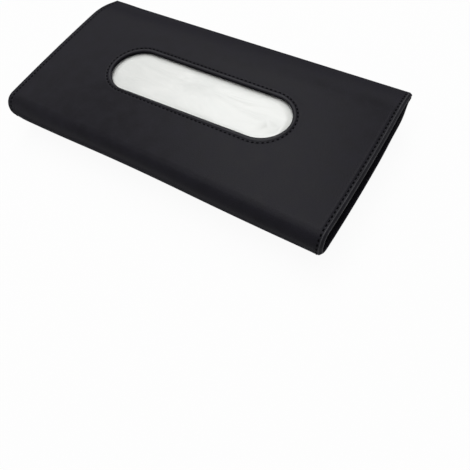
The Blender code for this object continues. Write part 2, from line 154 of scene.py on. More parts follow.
def makeFloor():
    # a seamless paper sweep: camera and mirror rays see it white, and it keeps a faint shadow
    material, tree, shader = newMaterial("seamlessPaper")
    setSockets(shader, {"Base Color": colour(stageLook["floorColour"]), "Roughness": 0.9})
    glow = addNode(tree, "ShaderNodeEmission", values={"Color": (1, 1, 1, 1), "Strength": 1.0})
    seen = seenWhite(tree)
    share = addNode(tree, "ShaderNodeMath", {"operation": "MULTIPLY"}, {1: stageLook["floorGlow"]},
                    [(seen, 0, 0)])
    mix = addNode(tree, "ShaderNodeMixShader", links=[(share, 0, "Fac")])
    tree.links.new(shader.outputs[0], mix.inputs[1])
    tree.links.new(glow.outputs[0], mix.inputs[2])
    tree.links.new(mix.outputs[0], tree.get_output_node("ALL").inputs["Surface"])
    bm = bmesh.new()
    bmesh.ops.create_grid(bm, x_segments=1, y_segments=1, size=stageLook["floorSize"] / 2)
    mesh = bpy.data.meshes.new("floor")
    bm.to_mesh(mesh)
    bm.free()
    mesh.materials.append(material)
    floor = bpy.data.objects.new("floor", mesh)
    bpy.context.scene.collection.objects.link(floor)
    floor.location.z = -stageLook["floorDrop"]


def makeWorld():
    world = bpy.data.worlds.new("studio")
    bpy.context.scene.world = world
    world.use_nodes = True
    tree = world.node_tree
    tree.nodes.clear()
    seen = seenWhite(tree)
    strength = addNode(tree, "ShaderNodeMapRange", values={
        "From Min": 0, "From Max": 1, "To Min": stageLook["worldStrength"], "To Max": 1.0,
    }, links=[(seen, 0, "Value")])
    back = addNode(tree, "ShaderNodeBackground", values={"Color": colour(stageLook["worldColour"])},
                   links=[(strength, "Result", "Strength")])
    addNode(tree, "ShaderNodeOutputWorld", links=[(back, 0, "Surface")])


def makeLamps():
    for name, place, size, power, target in stageLook["lamps"]:
        data = bpy.data.lights.new(name, "AREA")
        data.shape = "RECTANGLE"
        data.size, data.size_y = size
        data.energy = power
        lamp = bpy.data.objects.new(name, data)
        lamp.location = place
        lamp.rotation_euler = (Vector(target) - Vector(place)).to_track_quat("-Z", "Y").to_euler()
        bpy.context.scene.collection.objects.link(lamp)


makeCamera()
makeFloor()
makeWorld()
makeLamps()
bpy.context.scene.view_settings.view_transform = "Standard"
print("camera, floor and lamps are in place")


# Materials

def pattern(tree, kind, values, settings=None, stretch=None):
    # a texture in object metres, drawn out along x where a share is given
    source = (addNode(tree, "ShaderNodeTexCoord"), "Object", "Vector")
    if stretch:
        mapping = addNode(tree, "ShaderNodeMapping", values={"Scale": (stretch, 1.0, 1.0)}, links=[source])
        source = (mapping, "Vector", "Vector")
    return addNode(tree, kind, settings, values, [source])


def noiseValues(sizeMm, detail, roughness):
    return {"Scale": 1 / (sizeMm * mm), "Detail": detail, "Roughness": roughness}


def waveScale(sizeMm):
    # at scale 1 the wave texture goes round 20 radians in a metre
    return 2 * math.pi / (sizeMm * mm) / 20


def dress(tree, shader, source, output, look, sockets):
    # one pattern gives the surface its relief and its tint
    bump = addNode(tree, "ShaderNodeBump",
                   values={"Strength": look["relief"], "Distance": look["reliefMm"] * mm},
                   links=[(source, output, "Height")])
    low, high = look["tintStops"]
    tint = ramp(tree, source, output, [(low, colour(look["shade"])), (high, colour(look["face"]))])
    tree.links.new(tint.outputs["Color"], shader.inputs["Base Color"])
    tree.links.new(bump.outputs["Normal"], shader.inputs["Normal"])
    setSockets(shader, {"Roughness": look["roughness"], **sockets})


leatherLook = {
    "face": "16151a",
    "worn": "1b1a20",
    # painted highlight colour for edge shoulders, edge corners and the rim's crest, with a little rub
    "highlightAndRub": "4c4c4e",
    "roughness": 0.34,
    "glanceRoughness": 0.45,
    "specular": 0.06,
    "grainMm": 0.8,
    "grainDepthMm": 0.06,
    "creaseMm": 9.0,
}


def makeLeather(name, look):
    # polyurethane leather, embossed with a fine pebble grain: near black with a soft satin sheen
    material, tree, shader = newMaterial(name)
    cells = pattern(tree, "ShaderNodeTexVoronoi",
                    {"Scale": 1 / (look["grainMm"] * mm), "Smoothness": 0.35, "Randomness": 0.9},
                    {"feature": "SMOOTH_F1"})
    fine = pattern(tree, "ShaderNodeTexNoise", noiseValues(look["grainMm"] * 0.35, 2.0, 0.6))
    wide = pattern(tree, "ShaderNodeTexNoise", noiseValues(look["creaseMm"], 3.0, 0.55))
    grain = addNode(tree, "ShaderNodeMath", {"operation": "MULTIPLY_ADD"}, {1: 0.35},
                    [(fine, "Fac", 0), (cells, "Distance", 2)])
    bump = addNode(tree, "ShaderNodeBump",
                   values={"Strength": 0.5, "Distance": look["grainDepthMm"] * mm},
                   links=[(grain, 0, "Height")])
    bump.invert = True
    tint = ramp(tree, wide, "Fac", [(0.35, colour(look["face"])), (0.75, colour(look["worn"]))])
    # lighter where the leather is stretched over an edge and on the rim's crest: mostly a painted highlight
    # standing in for the sheen there, with a little rub from hands; the meshes say where
    highlightShare = addNode(tree, "ShaderNodeAttribute", {"attribute_name": "highlightAndRub"})
    patchy = addNode(tree, "ShaderNodeMapRange", values={
        "From Min": 0.3, "From Max": 0.7, "To Min": 0.55, "To Max": 1.0,
    }, links=[(wide, "Fac", "Value")])
    share = addNode(tree, "ShaderNodeMath", {"operation": "MULTIPLY"},
                    links=[(highlightShare, "Fac", 0), (patchy, "Result", 1)])
    highlightAndRub = addNode(tree, "ShaderNodeMix", {"data_type": "RGBA"}, {"B": colour(look["highlightAndRub"])},
                     [(share, 0, "Factor"), (tint, "Color", "A")])
    gloss = addNode(tree, "ShaderNodeMapRange", values={
        "From Min": 0.3, "From Max": 0.7,
        "To Min": look["roughness"] - 0.04, "To Max": look["roughness"] + 0.05,
    }, links=[(wide, "Fac", "Value")])
    # at a glancing angle the pebbles hide each other, and the sheen goes
    glance = addNode(tree, "ShaderNodeLayerWeight", values={"Blend": 0.5})
    duller = addNode(tree, "ShaderNodeMapRange", values={
        "From Min": 0.36, "From Max": 0.62, "To Min": 0.0, "To Max": look["glanceRoughness"],
    }, links=[(glance, "Facing", "Value")])
    roughness = addNode(tree, "ShaderNodeMath", {"operation": "ADD"},
                        links=[(gloss, "Result", 0), (duller, "Result", 1)])
    tree.links.new(highlightAndRub.outputs["Result"], shader.inputs["Base Color"])
    tree.links.new(roughness.outputs[0], shader.inputs["Roughness"])
    tree.links.new(bump.outputs["Normal"], shader.inputs["Normal"])
    setSockets(shader, {"IOR": 1.5, "Specular IOR Level": look["specular"]})
    return material


clothLook = {
    "shade": "131314",
    "face": "1e1e20",
    "tintStops": (0.2, 0.9),
    "roughness": 0.9,
    "relief": 0.5,
    "reliefMm": 0.08,
    "fuzzPerMetre": 900.0,
    # about twice as coarse as real threads, which would be too fine to show
    "liningMm": 0.55,
    "elasticMm": 1.1,
    "tapeMm": 0.9,
}


def makeWoven(name, look, threadMm, sheen):
    # plain woven polyester: matt, with a faint sheen across the threads
    material, tree, shader = newMaterial(name)
    warp, weft = [pattern(tree, "ShaderNodeTexWave", {"Scale": waveScale(threadMm)},
                          {"bands_direction": way}) for way in ("X", "Y")]
    weave = addNode(tree, "ShaderNodeMath", {"operation": "MULTIPLY"},
                    links=[(warp, "Fac", 0), (weft, "Fac", 1)])
    fuzz = pattern(tree, "ShaderNodeTexNoise", {"Scale": look["fuzzPerMetre"], "Detail": 2.0})
    height = addNode(tree, "ShaderNodeMath", {"operation": "MULTIPLY_ADD"}, {1: 0.4},
                     [(fuzz, "Fac", 0), (weave, 0, 2)])
    dress(tree, shader, height, 0, look,
          {"Sheen Weight": sheen, "Sheen Roughness": 0.5, "Specular IOR Level": 0.2})
    return material


threadLook = {"shade": "020203", "face": "060608", "tintStops": (0.1, 0.9), "twistMm": 0.35,
              "roughness": 0.6, "relief": 0.4, "reliefMm": 0.05}


def makeThread(name, look):
    # bonded polyester thread: dark, with a slight gloss on its twist
    material, tree, shader = newMaterial(name)
    twist = pattern(tree, "ShaderNodeTexWave", {"Scale": waveScale(look["twistMm"]), "Distortion": 1.0},
                    {"bands_direction": "DIAGONAL"})
    dress(tree, shader, twist, "Fac", look, {"Specular IOR Level": 0.02})
    return material


filmLook = {"shade": "d6d8d5", "face": "e4e5e2", "tintStops": (0.3, 0.65), "pressMm": 14.0,
            "stretch": 0.35, "roughness": 0.24, "relief": 0.7, "reliefMm": 1.2}


def makeFilm(name, look):
    # thin blown polyethylene over white tissue: white and milky, with a soft gloss on its folds
    material, tree, shader = newMaterial(name)
    folds = pattern(tree, "ShaderNodeTexNoise",
                    {**noiseValues(look["pressMm"], 4.0, 0.55), "Distortion": 0.6},
                    stretch=look["stretch"])
    dress(tree, shader, folds, "Fac", look, {"IOR": 1.5, "Coat Weight": 0.06, "Coat Roughness": 0.2})
    return material


tissueLook = {"shade": "e4e4e0", "face": "f2f2ef", "tintStops": (0.3, 0.7), "fibreMm": 0.6,
              "roughness": 0.95, "relief": 0.4, "reliefMm": 0.1}


def makeTissue(name, look):
    # creped cellulose tissue: soft white and matt, with fine fibres
    material, tree, shader = newMaterial(name)
    fibres = pattern(tree, "ShaderNodeTexNoise", noiseValues(look["fibreMm"], 5.0, 0.7))
    dress(tree, shader, fibres, "Fac", look, {"Sheen Weight": 0.2})
    return material


boardLook = {"shade": "5b564f", "face": "6f6a62", "tintStops": (0.35, 0.65), "fibreMm": 1.5,
             "roughness": 0.9, "relief": 0.3, "reliefMm": 0.05}


def makeBoard(name, look):
    # pressed grey board: dull, flecked with recycled fibre
    material, tree, shader = newMaterial(name)
    flecks = pattern(tree, "ShaderNodeTexNoise", noiseValues(look["fibreMm"], 6.0, 0.75))
    dress(tree, shader, flecks, "Fac", look, {})
    return material


steelLook = {"shade": "9fa2a5", "face": "b9bbbd", "tintStops": (0.3, 0.7), "scratchMm": 0.4,
             "stretch": 0.02, "roughness": 0.3, "relief": 0.2, "reliefMm": 0.02}


def makeSteel(name, look):
    # nickel plated magnet: bright, with fine rolling marks along its length
    material, tree, shader = newMaterial(name)
    marks = pattern(tree, "ShaderNodeTexNoise", noiseValues(look["scratchMm"], 3.0, 0.5),
                    stretch=look["stretch"])
    dress(tree, shader, marks, "Fac", look, {"Metallic": 1.0})
    return material


embossedLeather = makeLeather("embossedLeather", leatherLook)
wovenLining = makeWoven("wovenLining", clothLook, clothLook["liningMm"], 0.3)
knittedElastic = makeWoven("knittedElastic", clothLook, clothLook["elasticMm"], 0.15)
hookTape = makeWoven("hookAndLoopTape", clothLook, clothLook["tapeMm"], 0.5)
bondedThread = makeThread("bondedThread", threadLook)
blownFilm = makeFilm("blownFilm", filmLook)
crepedTissue = makeTissue("crepedTissue", tissueLook)
greyBoard = makeBoard("greyBoard", boardLook)
platedSteel = makeSteel("platedSteel", steelLook)
print("materials are made")


# The case's section, from the far edge of the back, round the fold, to the far edge of the front

caseShape = {
    "thickness": 2.7 * mm,
    "frontBendRadius": 58 * mm,
    "lipWidth": 8.5 * mm,
    "lipDegrees": 18.6,
    "lipGap": 0.3 * mm,
    "lipEase": 6 * mm,
    "backRiseLength": 40.7 * mm,
    "backRiseShare": 0.84,
    "step": 0.5 * mm,
    "bendSteps": 24,
    "riseSteps": 60,
    "foldSteps": 90,
    # where the two leathers meet, as a share of the roll from the back
    "splitShare": 0.25,
    # each bend ends at this share of the way from its crease to where they meet
    "bendShare": 0.95,
    # how far each end bows out, where along y, and its reach
    "leftBow": (1.6 * mm, 4 * mm, 66 * mm),
    "rightBow": (1.15 * mm, 0, 56 * mm),
    "bowStart": 80 * mm,
    "foldOut": 0.4 * mm,
    # the back's right end flares by this, where along y, and its spread
    "backFlare": (0.95 * mm, 43 * mm, 9 * mm),
    # the fold is drawn in at its left end, and along its waist
    "pinch": 1.0 * mm,
    "pinchReach": 14 * mm,
    "waist": 1.3 * mm,
    "waistX": -12 * mm,
    "waistSpread": 50 * mm,
}

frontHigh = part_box("front_skin")[1]
foldLow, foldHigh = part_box("roll_skin")
halfLength = frontHigh.x
farY = frontHigh.y
topZ, baseZ = foldHigh.z, foldLow.z
foldRadius = (topZ - baseZ) / 2
foldY = foldLow.y + foldRadius


def curveThrough(start, startHandle, endHandle, end, steps):
    points = []
    for step in range(steps + 1):
        t = step / steps
        points.append(start * (1 - t) ** 3 + startHandle * (3 * t * (1 - t) ** 2)
                      + endHandle * (3 * t * t * (1 - t)) + end * t ** 3)
    return points


def arcPoints(centre, radius, start, end, steps):
    turns = [start + (end - start) * step / steps for step in range(steps + 1)]
    return [centre + radius * Vector((math.cos(turn), math.sin(turn))) for turn in turns]


def joinLines(*lines):
    # one line without doubled points
    points = []
    for line in lines:
        for point in line:
            if not points or (point - points[-1]).length > 1e-6:
                points.append(point)
    return points


def evenly(line, step):
    # the line again, with points an even step apart
    lengths = [0.0]
    for first, second in zip(line, line[1:]):
        lengths.append(lengths[-1] + (second - first).length)
    count = max(2, round(lengths[-1] / step))
    points, index = [], 0
    for k in range(count + 1):
        want = lengths[-1] * k / count
        while index < len(line) - 2 and lengths[index + 1] < want:
            index += 1
        span = lengths[index + 1] - lengths[index]
        points.append(line[index].lerp(line[index + 1], (want - lengths[index]) / span))
    return points, lengths[-1]


def sectionLine(line, step):
    # what gives a point and the direction to its right at a length along the line
    points, total = evenly(line, step)
    count = len(points) - 1
    rights = []
    for k in range(count + 1):
        along = (points[min(k + 1, count)] - points[max(k - 1, 0)]).normalized()
        rights.append(Vector((along.y, -along.x)))

    def at(length):
        share = min(max(length / total, 0), 1) * count
        k = min(int(share), count - 1)
        t = share - k
        return points[k].lerp(points[k + 1], t), rights[k].lerp(rights[k + 1], t).normalized()

    return at, total


def caseLines():
    shape = caseShape
    angle = math.radians(shape["lipDegrees"])
    alongLip = Vector((math.cos(angle), -math.sin(angle)))
    underLip = Vector((-math.sin(angle), -math.cos(angle)))
    bendY = farY - shape["lipWidth"] * math.cos(angle) - shape["frontBendRadius"] * math.sin(angle)
    bend = arcPoints(Vector((bendY, topZ - shape["frontBendRadius"])), shape["frontBendRadius"],
                     math.pi / 2, math.pi / 2 - angle, shape["bendSteps"])
    front = [Vector((foldY, topZ)), *bend, bend[-1] + alongLip * shape["lipWidth"]]
    gap = 2 * shape["thickness"] + shape["lipGap"]
    lip = [front[-2] + underLip * gap, front[-1] + underLip * gap]
    riseStart = Vector((lip[0].x - shape["backRiseLength"], baseZ))
    rise = curveThrough(lip[0], lip[0] - alongLip * shape["lipEase"],
                        riseStart + Vector((shape["backRiseLength"] * shape["backRiseShare"], 0)),
                        riseStart, shape["riseSteps"])
    back = joinLines([lip[1]], rise, [Vector((foldY, baseZ))])
    fold = arcPoints(Vector((foldY, baseZ + foldRadius)), foldRadius,
                     -math.pi / 2, -3 * math.pi / 2, shape["foldSteps"])
    return back, fold, front


backLine, foldLine, frontLine = caseLines()
caseAt, caseTotal = sectionLine(joinLines(backLine, foldLine, frontLine), caseShape["step"])
backTotal = evenly(backLine, caseShape["step"])[1]
frontTotal = evenly(frontLine, caseShape["step"])[1]
foldTotal = math.pi * foldRadius
splitAt = backTotal + foldTotal * caseShape["splitShare"]


def smoothShare(value):
    value = min(max(value, 0.0), 1.0)
    return value * value * (3 - 2 * value)


def onCase(x, along, depth):
    # a place on the case, depth being how far it lies inside the leather's face
    point, inside = caseAt(along)
    shape = caseShape
    turn = min(max((along - backTotal) / foldTotal, 0), 1)
    folded = math.sin(math.pi * turn) ** 2
    narrowing = shape["waist"] * math.exp(-((x - shape["waistX"]) / shape["waistSpread"]) ** 2)
    narrowing += shape["pinch"] * smoothShare(1 - (x + halfLength) / shape["pinchReach"])
    place = point + inside * depth
    # the ends bow out a little between the fold and the lip
    most, middle, reach = shape["rightBow" if x > 0 else "leftBow"]
    bow = most * max(0.0, 1 - ((place.x - middle) / reach) ** 2) + shape["foldOut"] * folded
    if x > 0:
        more, centre, spread = shape["backFlare"]
        bow += more * (1 - turn) * math.exp(-((place.x - centre) / spread) ** 2)
    bow *= smoothShare((abs(x) - shape["bowStart"]) / (halfLength - shape["bowStart"]))
    return Vector((x + math.copysign(bow, x), place.x + narrowing * folded, place.y))


# Building sheets in plan, which a placing function then lays on the case

def newSurface(place):
    bm = bmesh.new()
    highlightLayer(bm)
    return {"bm": bm, "known": {}, "place": place}


# the vertex layer that says how much painted highlight, with a little rub, each point gets
def highlightLayer(bm):
    return bm.verts.layers.float.get("highlightAndRub") or bm.verts.layers.float.new("highlightAndRub")


def cornerOf(surface, x, v, depth):
    key = (round(x * 1e5), round(v * 1e5), round(depth * 1e5))
    if key not in surface["known"]:
        surface["known"][key] = surface["bm"].verts.new(surface["place"](x, v, depth))
    return surface["known"][key]


def addFace(surface, corners):
    kept = []
    for corner in corners:
        if corner not in kept:
            kept.append(corner)
    if len(kept) > 2:
        surface["bm"].faces.new(kept)


def addStrip(surface, first, second):
    for (a, b), (c, d) in zip(zip(first, first[1:]), zip(second, second[1:])):
        addFace(surface, [a, b, d, c])


def addTube(bm, first, second):
    # faces between two closed rings
    addStrip({"bm": bm}, first + first[:1], second + second[:1])


def profileLength(profile):
    # the length of the leather's way over the edge
    return sum(math.hypot(b[0] - a[0], b[1] - a[1]) for a, b in zip(profile, profile[1:]))


def insetOutline(plan, inset):
    # the plan's edge moved in: along the left side to the lip, across it, and back along the right
    half, steps = plan["halfWidth"], plan["cornerSteps"]
    turns = [math.pi * (1 + k / (2 * steps)) for k in range(steps + 1)]

    def cornerPoints(corner):
        # how far each point of a rounded corner lies from the side and from the end
        centre = max(corner, inset)
        reach = centre - inset
        return [(centre + reach * math.cos(turn), centre + reach * math.sin(turn)) for turn in turns]

    near = cornerPoints(plan["corner"])
    points = [(-half + inset, v) for v in reversed(plan["rows"])]
    points += [(-half + off, v) for off, v in near]
    points += [(x, inset) for x in plan["columns"]]
    points += [(half - off, v) for off, v in reversed(near)]
    points += [(half - inset, v) for v in plan["rows"]]
    if "farCorner" not in plan:
        return points
    # a closed outline goes on round the far end
    far, end = cornerPoints(plan["farCorner"]), plan["length"]
    points += [(half - off, end - v) for off, v in far]
    points += [(x, end - inset) for x in reversed(plan["columns"])]
    points += [(-half + off, end - v) for off, v in reversed(far)]
    return points + points[:1]


def wrapEdges(surface, plan, profile, highlightShares=None, leftProfile=None):
    # highlight shares say how much painted highlight, with a little rub, each line of the profile gets, and
    # the left end may have its own profile
    lines = []
    for k, (inset, depth) in enumerate(profile):
        places = [(x, v, depth) for x, v in insetOutline(plan, inset)]
        if leftProfile:
            leftInset, leftDepth = leftProfile[k]
            mixStart, mixReach = skinShape["leftMix"]
            for j, (x, v) in enumerate(insetOutline(plan, leftInset)):
                share = smoothShare((x + plan["halfWidth"] - mixStart) / mixReach)
                places[j] = Vector((x, v, leftDepth)).lerp(Vector(places[j]), share)
        lines.append([cornerOf(surface, *place) for place in places])
        if highlightShares:
            for corner in lines[-1]:
                corner[highlightLayer(surface["bm"])] = highlightShares[k]
    for first, second in zip(lines, lines[1:]):
        addStrip(surface, first, second)


def fillGrid(surface, columns, rows, depth, hole=None):
    for x0, x1 in zip(columns, columns[1:]):
        acrossHole = hole and hole["left"] < (x0 + x1) / 2 < hole["right"]
        for v0, v1 in zip(rows, rows[1:]):
            if acrossHole and hole["low"] < (v0 + v1) / 2 < hole["high"]:
                continue
            addFace(surface, [cornerOf(surface, x, v, depth)
                              for x, v in ((x0, v0), (x1, v0), (x1, v1), (x0, v1))])


def spaced(start, end, step):
    count = max(1, round(abs(end - start) / step))
    return [start + (end - start) * k / count for k in range(count + 1)]


def joined(*lists):
    kept = []
    for values in lists:
        for value in values:
            if not kept or abs(value - kept[-1]) > 1e-7:
                kept.append(value)
    return kept


sharpDegrees = 45


def finishMesh(bm, name, material, smoothDegrees=sharpDegrees, up=None):
    # up is the way that the face lying farthest along it looks
    bmesh.ops.remove_doubles(bm, verts=bm.verts, dist=1e-7)
    bmesh.ops.recalc_face_normals(bm, faces=bm.faces)
    if up:
        bm.faces.ensure_lookup_table()
        highest = max(bm.faces, key=lambda face: face.calc_center_median().dot(up))
        if highest.normal.dot(up) < 0:
            bmesh.ops.reverse_faces(bm, faces=bm.faces)
    mesh = bpy.data.meshes.new(name)
    bm.to_mesh(mesh)
    bm.free()
    mesh.shade_smooth()
    mesh.set_sharp_from_angle(angle=math.radians(smoothDegrees))
    mesh.materials.append(material)
    made = bpy.data.objects.new(name, mesh)
    bpy.context.scene.collection.objects.link(made)
    return made


def applied(made):
    # makes the object's modifiers real
    bpy.context.view_layer.update()
    evaluated = made.evaluated_get(bpy.context.evaluated_depsgraph_get())
    mesh = bpy.data.meshes.new_from_object(evaluated)
    made.modifiers.clear()
    made.data = mesh


def thicken(made, thickness):
    shell = made.modifiers.new("thickness", "SOLIDIFY")
    shell.thickness = thickness
    shell.offset = -1
    shell.use_even_offset = True
    applied(made)
    made.data.set_sharp_from_angle(angle=math.radians(sharpDegrees))


# The opening

openingShape = {
    "rimWidth": 2.3 * mm,
    "rimProud": 0.22 * mm,
    "rimLean": 0.5 * mm,
    "rimBase": 0.9 * mm,
    "rimSide": 0.4 * mm,
    "rimArch": 4.0,
    # how strong the painted highlight along the rim's crest is, and how fast it falls off to the sides
    "rimHighlight": 0.38,
    "rimHighlightFall": 1.6,
    # how deep its two feet start, as shares of the case's thickness
    "rimFeet": (0.4, 0.6),
    "rimSteps": 14,
    "arcSteps": 36,
    "straightSteps": 40,
    # how far the rim is drawn in along its near side, from left to right, and in its near right arc
    "nearDraw": (-0.8 * mm, 0.4 * mm),
    "nearDrawPower": 8,
    "arcDraw": 0.5 * mm,
    "endWider": 0.3 * mm,
    "seamShift": -0.1 * mm,
    "blockMargin": 9.0 * mm,
    # rings of the leather and the lining, in mm outside the opening's edge
    "ringOffsets": [2.1, 2.35, 2.6, 2.8, 3.0, 3.3, 3.7, 4.4, 5.2],
    "columnStep": 2.4 * mm,
    "rowStep": 2.4 * mm,
}

rimLow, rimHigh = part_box("opening_rim")
cadRimWidth = 2.0 * mm  # in the solids
openingX, openingY = (rimLow.x + rimHigh.x) / 2, (rimLow.y + rimHigh.y) / 2
openingHalfLength = (rimHigh.x - rimLow.x) / 2 - cadRimWidth
openingRadius = (rimHigh.y - rimLow.y) / 2 - cadRimWidth
openingReach = openingHalfLength - openingRadius


def alongFront(y):
    # distance from the lip to a place on the flat of the front
    return frontTotal - (y - foldY)


def openingBlock():
    margin = openingShape["blockMargin"]
    return {
        "left": openingX - openingHalfLength - margin,
        "right": openingX + openingHalfLength + margin,
        "low": alongFront(openingY + openingRadius + margin),
        "high": alongFront(openingY - openingRadius - margin),
    }


def openingRings(block, columns, rows):
    # rings of plan points from the rim out to the block's edge, going round with its grid points
    half = (block["right"] - block["left"]) / 2
    inner, outer = [], []
    for side in (1, -1):
        line = columns if side > 0 else columns[::-1]
        for x in line[:-1]:
            over = abs(x - openingX) - openingReach
            turn = math.pi / 2 * side
            centre = x
            if over > 0:
                sign = 1 if x > openingX else -1
                turn = side * (math.pi / 2 - sign * math.pi / 4 * over / (half - openingReach))
                centre = openingX + sign * openingReach
            inner.append((centre, turn))
            outer.append((x, block["low"] if side > 0 else block["high"]))
        line = rows if side > 0 else rows[::-1]
        for v in line[:-1]:
            share = (v - block["low"]) / (block["high"] - block["low"])
            turn = math.pi / 4 - math.pi / 2 * share
            inner.append((openingX + side * openingReach, turn if side > 0 else math.pi - turn))
            outer.append((block["right"] if side > 0 else block["left"], v))
    rings = []
    for offset in openingShape["ringOffsets"]:
        radius = openingRadius + offset * mm
        rings.append([(centre + radius * math.cos(turn),
                       alongFront(openingY + radius * math.sin(turn))) for centre, turn in inner])
    last = rings[-1]
    for share in (0.33, 0.66, 1.0):
        rings.append([(a[0] + (b[0] - a[0]) * share, a[1] + (b[1] - a[1]) * share)
                      for a, b in zip(last, outer)])
    return rings


def frontGrid(half, inset, columnStep, rowStep, foldLines):
    # columns and rows of the front in plan, which meet the block round the opening
    block, inner = openingBlock(), half - inset
    columns = joined(spaced(-inner, block["left"], columnStep),
                     spaced(block["left"], block["right"], openingShape["columnStep"]),
                     spaced(block["right"], inner, columnStep))
    rows = joined(spaced(inset, block["low"], rowStep),
                  spaced(block["low"], block["high"], openingShape["rowStep"]),
                  spaced(block["high"], frontTotal, rowStep), foldLines)
    return block, columns, rows


def fillFront(surface, block, columns, rows, depth):
    fillGrid(surface, columns, rows, depth, block)
    blockColumns = [x for x in columns if block["left"] - 1e-7 <= x <= block["right"] + 1e-7]
    blockRows = [v for v in rows if block["low"] - 1e-7 <= v <= block["high"] + 1e-7]
    lines = [[cornerOf(surface, x, v, depth) for x, v in ring + ring[:1]]
             for ring in openingRings(block, blockColumns, blockRows)]
    for first, second in zip(lines, lines[1:]):
        addStrip(surface, first, second)


def offOpening(x, v, shift=0.0):
    # how far a plan point of the front lies outside the opening's edge, or outside it moved in y
    y = foldY + frontTotal - v
    dx = max(abs(x - openingX) - openingReach, 0)
    return math.hypot(dx, y - openingY - shift) - openingRadius


# Leather of the two panels, in one piece round the fold but for a joint hidden under it

skinShape = {
    "leather": 0.7 * mm,
    "rightSlope": 50,
    "leftSlope": 75,
    "shoulderRound": 1.0 * mm,
    "cornerRound": 0.6 * mm,
    "hem": 6.0 * mm,
    "corner": 0.5 * mm,
    "backCorner": 0.7 * mm,
    "cornerSteps": 6,
    "leftSeam": 3.7 * mm,
    "rightSeam": 2.9 * mm,
    "openingSeam": 2.82 * mm,
    "grooveWidth": 0.55 * mm,
    "grooveDepth": 0.14 * mm,
    "puffWidth": 1.3 * mm,
    "puffHeight": 0.08 * mm,
    "columnStep": 3.0 * mm,
    "rowStep": 3.0 * mm,
    "foldStep": 0.6 * mm,
    "splitStep": 0.2 * mm,
    "splitRows": 12,
    "backRowStep": 2.1 * mm,
    "unevenMm": 38,
    "unevenHeight": 0.10 * mm,
    "unevenEdge": 20 * mm,
    "frontSeed": 3.7,
    "backSeed": 9.1,
    "faceLines": 14,
    # how much painted highlight, with a little rub, the shoulder and the lower corner get, line by line
    "shoulderHighlight": (0.0, 0.5, 1.0, 0.5, 0.0),
    "cornerHighlight": (0.8, 1.0, 1.0, 0.5, 0.0, 0.0, 0.0, 0.0),
    # where the left end's own edge starts to give way to the right one's, and over how far
    "leftMix": (8 * mm, 20 * mm),
}


def groove(distance):
    # the dent of a seam and the swelling beside it
    shape = skinShape
    dent = shape["grooveDepth"] * math.exp(-(distance / shape["grooveWidth"]) ** 2)
    off = (abs(distance) - shape["puffWidth"]) / (shape["puffWidth"] / 2)
    swell = shape["puffHeight"] * math.exp(-off ** 2)
    return dent - swell


def uneven(x, v, seed):
    shape = skinShape
    # flat at the sewn edges
    edge = min(halfLength - abs(x), v, shape["unevenEdge"]) / shape["unevenEdge"]
    return shape["unevenHeight"] * max(edge, 0) * noise.noise(
        Vector((x / (shape["unevenMm"] * mm), v / (shape["unevenMm"] * mm), seed)))


def bareFront(x, v, depth):
    return onCase(x, caseTotal - v, depth + uneven(x, v, skinShape["frontSeed"]))


def bareBack(x, v, depth):
    return onCase(x, v, depth + uneven(x, v, skinShape["backSeed"]))


def frontPlace(x, v, depth):
    if depth < 1e-6:
        depth += groove(halfLength - abs(x) - skinShape["rightSeam" if x > 0 else "leftSeam"])
        depth += groove(offOpening(x, v, openingShape["seamShift"]) - skinShape["openingSeam"])
    return bareFront(x, v, depth)


def backPlace(x, v, depth):
    if depth < 1e-6:
        depth += groove(halfLength - abs(x) - skinShape["rightSeam" if x > 0 else "leftSeam"])
    return bareBack(x, v, depth)


def foldRows(start, end):
    # rows round the fold, closer where the two leathers meet
    shape = skinShape
    near = end - math.copysign(shape["splitRows"] * shape["splitStep"], end - start)
    return joined(spaced(start, near, shape["foldStep"]), spaced(near, end, shape["splitStep"]))


def edgeWrap(slopeDegrees):
    # the face, a shoulder, a slope pulled tight over the board's edge, a lower corner and the hem
    shape = skinShape
    slope = math.radians(slopeDegrees)
    thickness, upper, lower = caseShape["thickness"], shape["shoulderRound"], shape["cornerRound"]
    low = (lower * (1 - math.sin(slope)), thickness - lower * (1 + math.cos(slope)))
    drop = low[1] - upper * (1 - math.cos(slope))
    start = low[0] + drop / math.tan(slope) + upper * math.sin(slope)
    hem, count = shape["hem"], shape["faceLines"]
    points = [(hem + (start - hem) * k / count, 0.0) for k in range(count)]
    highlightShares = [0.0] * len(points)
    # painted highlight along the shoulder
    for k, highlightShare in enumerate(shape["shoulderHighlight"]):
        turn = slope * k / (len(shape["shoulderHighlight"]) - 1)
        points.append((start - upper * math.sin(turn), upper * (1 - math.cos(turn))))
        highlightShares.append(highlightShare)
    slopeEnd = points[-1]
    for share in (0.33, 0.67):
        points.append((slopeEnd[0] + (low[0] - slopeEnd[0]) * share,
                       slopeEnd[1] + (low[1] - slopeEnd[1]) * share))
        highlightShares.append(0.0)
    # painted highlight along the lower corner
    for k, highlightShare in enumerate(shape["cornerHighlight"]):
        turn = slope + (math.pi - slope) * k / (len(shape["cornerHighlight"]) - 1)
        points.append((lower - lower * math.sin(turn), thickness - lower - lower * math.cos(turn)))
        highlightShares.append(highlightShare)
    points += [(hem * share, thickness) for share in (0.33, 0.67, 1.0)]
    return points, highlightShares + [0.0] * 3


def flatLeather(columns, rows):
    # the cut sheet, with what turns over its two ends and its lip
    right, left = [profileLength(edgeWrap(skinShape[side])[0]) for side in ("rightSlope", "leftSlope")]
    return columns[-1] - columns[0] + left + right, rows[-1] - rows[0] + right


